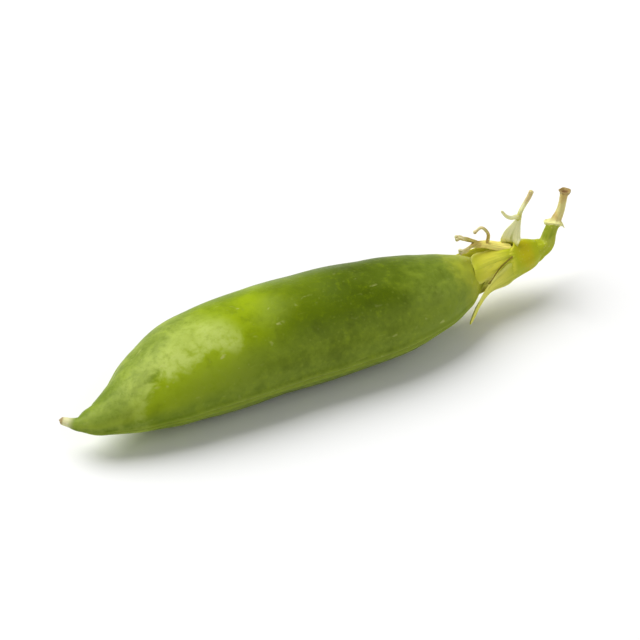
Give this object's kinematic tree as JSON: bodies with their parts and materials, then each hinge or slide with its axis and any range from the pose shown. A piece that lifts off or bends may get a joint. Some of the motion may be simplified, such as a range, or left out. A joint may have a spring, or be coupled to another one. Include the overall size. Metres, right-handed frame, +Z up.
{
  "type": "pea pod",
  "caption": "Plump closed garden pea pod with its calyx, withered stamens and short hooked stalk, as picked, lying on its side.",
  "frame": {"origin": "on the surface under the middle of the whole, which lies on its broad side", "axes": "+X along the pod from the beak to the stalk, +Y towards the back rib, +Z up"},
  "size_m": [0.0696, 0.0154, 0.0138],
  "materials": {
    "pod": "waxy, satin",
    "calyx": "thin and leafy, satin",
    "pedicel": "fleshy, satin",
    "stamens": "dry, matt"
  },
  "bodies": {
    "root": {"pod": "pod", "calyx": "calyx", "pedicel": "pedicel", "stamens": "stamens"}
  },
  "joints": []
}
